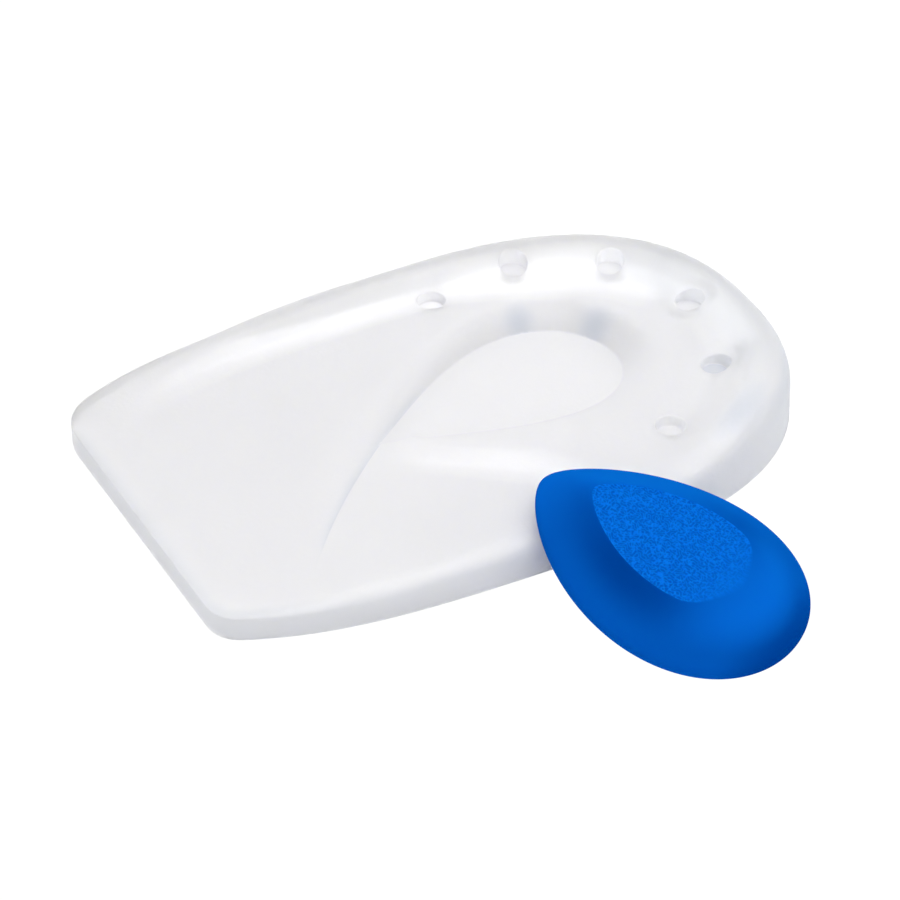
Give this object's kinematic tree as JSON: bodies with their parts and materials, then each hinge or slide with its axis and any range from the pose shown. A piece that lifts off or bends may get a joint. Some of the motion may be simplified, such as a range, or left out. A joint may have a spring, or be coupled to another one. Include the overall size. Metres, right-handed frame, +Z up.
{
  "type": "silicone heel insert with loose spur pad",
  "caption": "Milky silicone heel cushion with a raised heel rim, blind holes and a comma-shaped seat, with its blue grained teardrop pad lifted out and leaning on the rim.",
  "frame": {"origin": "middle of the cushion's flat sole, halfway between the front edge and the rear of the heel", "axes": "+X from the front edge to the rear of the heel, +Y to the outer side of the foot, +Z up from the sole"},
  "size_m": [0.1066, 0.1006, 0.0128],
  "materials": {
    "milky_silicone": "satin, milky see-through silicone",
    "blue_silicone": "satin see-through blue silicone, one face with a fine pebble grain"
  },
  "bodies": {
    "root": {"heel_cushion": "milky_silicone", "spur_pad": "blue_silicone"}
  },
  "joints": []
}
